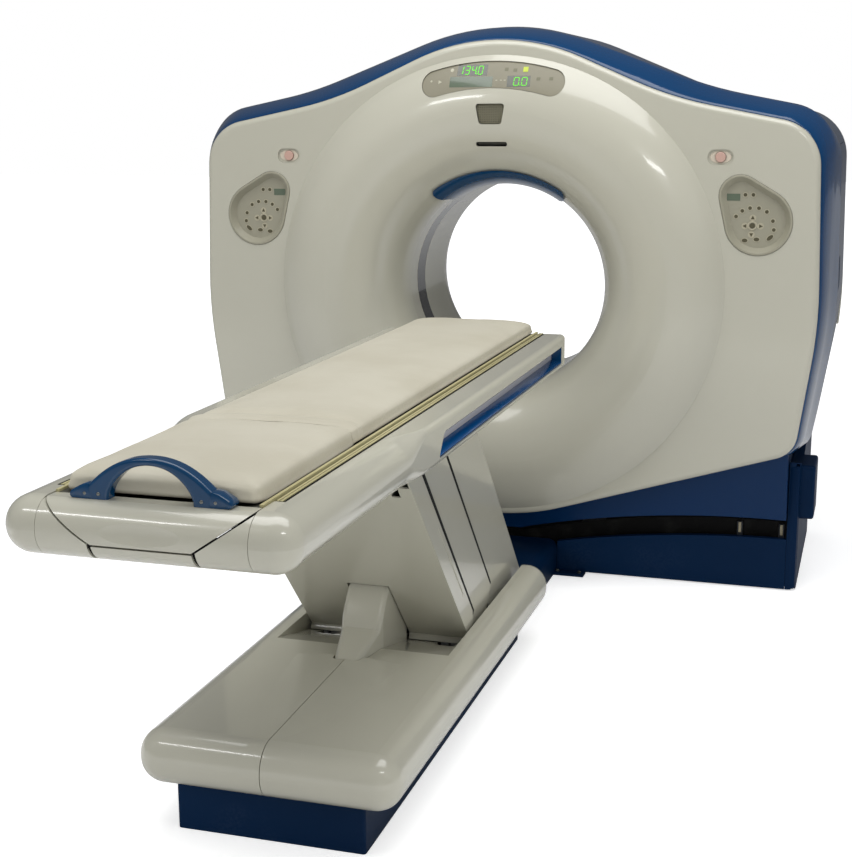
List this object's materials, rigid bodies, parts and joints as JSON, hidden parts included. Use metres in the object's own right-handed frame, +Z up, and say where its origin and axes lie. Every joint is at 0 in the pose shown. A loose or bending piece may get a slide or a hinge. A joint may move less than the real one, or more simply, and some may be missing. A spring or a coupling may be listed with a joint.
{
  "type": "ct scanner",
  "caption": "Whole-body CT scanner: tilting ring gantry with a spinning rotor in moulded covers, and a patient table with a sliding cradle on a leaning link lift.",
  "frame": {"origin": "on the floor, straight below the point where the bore axis crosses the scan plane", "axes": "+X to the right of a person standing at the table's foot end, +Y along the bore axis into the gantry, +Z up"},
  "size_m": [2.228, 3.475, 1.8929],
  "materials": {
    "cover_cream": "satin",
    "cover_violet": "satin",
    "cover_blue": "gloss",
    "cover_mid_blue": "satin",
    "skirt_navy": "satin",
    "panel_grey": "satin",
    "window_dark": "gloss",
    "black_sheet": "matt",
    "blue_trim": "gloss",
    "button_red": "gloss",
    "pad_beige": "satin",
    "cradle_shell": "satin",
    "strip_yellow": "satin",
    "frame_steel": "satin",
    "pin_steel": "brushed",
    "rotor_metal": "satin",
    "bearing_steel": "satin",
    "frame_iron": "painted",
    "unit_grey": "satin",
    "foot_rubber": "matt"
  },
  "bodies": {
    "base": {"gantry_base_frame": "frame_iron", "base_front_skirt": "skirt_navy", "slot_shield": "black_sheet", "base_rear_skirt": "skirt_navy", "base_side_cover_right": "skirt_navy", "base_side_cover_left": "skirt_navy", "tilt_tower_right": "frame_iron", "tilt_tower_left": "frame_iron", "levelling_pads": "foot_rubber", "docking_cover": "skirt_navy", "table_base_cover_right": "cover_cream", "table_base_cover_left": "cover_cream", "knee_cover": "cover_cream", "table_plinth": "skirt_navy", "table_base_frame": "frame_steel", "lower_pivot_pins": "pin_steel", "lift_drive": "unit_grey"},
    "gantry": {"front_cover": "cover_cream", "display_panel": "panel_grey", "speaker_panel": "cover_cream", "laser_window": "window_dark", "bore_top_pad": "blue_trim", "control_panel_right": "panel_grey", "control_panel_left": "panel_grey", "trim_band": "cover_blue", "top_cover": "cover_cream", "side_cover_right": "cover_violet", "side_cover_left": "cover_violet", "rear_cover": "cover_cream", "lower_front_cover": "cover_mid_blue", "scan_window": "window_dark", "stator_frame": "rotor_metal", "main_bearing": "bearing_steel"},
    "rotor": {"rotor_drum": "rotor_metal", "xray_tube": "unit_grey", "collimator": "bearing_steel", "detector_array": "unit_grey", "high_voltage_unit": "unit_grey"},
    "stop_right": {"stop_button_right": "button_red"},
    "stop_left": {"stop_button_left": "button_red"},
    "front_link": {"front_leg": "frame_steel", "near_leg_cover": "cover_cream"},
    "middle_link": {"mid_leg_cover": "cover_cream"},
    "rear_link": {"rear_leg": "frame_steel", "far_leg_cover": "cover_cream"},
    "table": {"table_frame": "frame_steel", "upper_pivot_pins": "pin_steel", "side_rail_right": "cover_cream", "side_rail_left": "cover_cream", "rail_inlay_right": "blue_trim", "rail_inlay_left": "blue_trim", "foot_cover_right": "cover_cream", "foot_cover_left": "cover_cream", "foot_centre_strip": "cover_cream"},
    "cradle": {"cradle": "cradle_shell", "cradle_edge_strips": "strip_yellow", "cradle_end_cap": "cover_cream", "cradle_handle": "blue_trim", "pad_main": "pad_beige", "pad_foot": "pad_beige"}
  },
  "joints": [
    {"name": "gantry_tilt", "type": "hinge", "parent": "base", "child": "gantry", "pos_m": [0, 0, 1.025], "axis": [1, 0, 0], "range_deg": [-30, 30]},
    {"name": "rotor_spin", "type": "hinge", "parent": "gantry", "child": "rotor", "pos_m": [0, 0, 1.025], "axis": [0, 1, 0], "continuous": true},
    {"name": "stop_right_press", "type": "slide", "parent": "gantry", "child": "stop_right", "axis": [0, 1, 0], "range_m": [0, 0.004], "stiffness_N_per_m": 1500, "springref_m": -0.002},
    {"name": "stop_left_press", "type": "slide", "parent": "gantry", "child": "stop_left", "axis": [0, 1, 0], "range_m": [0, 0.004], "stiffness_N_per_m": 1500, "springref_m": -0.002},
    {"name": "table_lift", "type": "hinge", "parent": "base", "child": "front_link", "pos_m": [0, -1.413, 0.18], "axis": [-1, 0, 0], "range_deg": [-22, 8]},
    {"name": "table_level", "type": "hinge", "parent": "front_link", "child": "table", "pos_m": [0, -1.97224, 0.77971], "axis": [-1, 0, 0], "range_deg": [-8, 22]},
    {"name": "rear_link_swing", "type": "hinge", "parent": "base", "child": "rear_link", "pos_m": [0, -0.9, 0.18], "axis": [-1, 0, 0], "range_deg": [-22, 8]},
    {"name": "middle_cover_swing", "type": "hinge", "parent": "base", "child": "middle_link", "pos_m": [0, -1.282, 0.18], "axis": [-1, 0, 0], "range_deg": [-22, 8]},
    {"name": "cradle_slide", "type": "slide", "parent": "table", "child": "cradle", "axis": [0, 1, 0], "range_m": [0, 1.7]}
  ],
  "couplings": [
    {"joint": "table_level", "follows": "table_lift", "ratio": -1},
    {"joint": "rear_link_swing", "follows": "table_lift", "ratio": 1},
    {"joint": "middle_cover_swing", "follows": "table_lift", "ratio": 1}
  ]
}
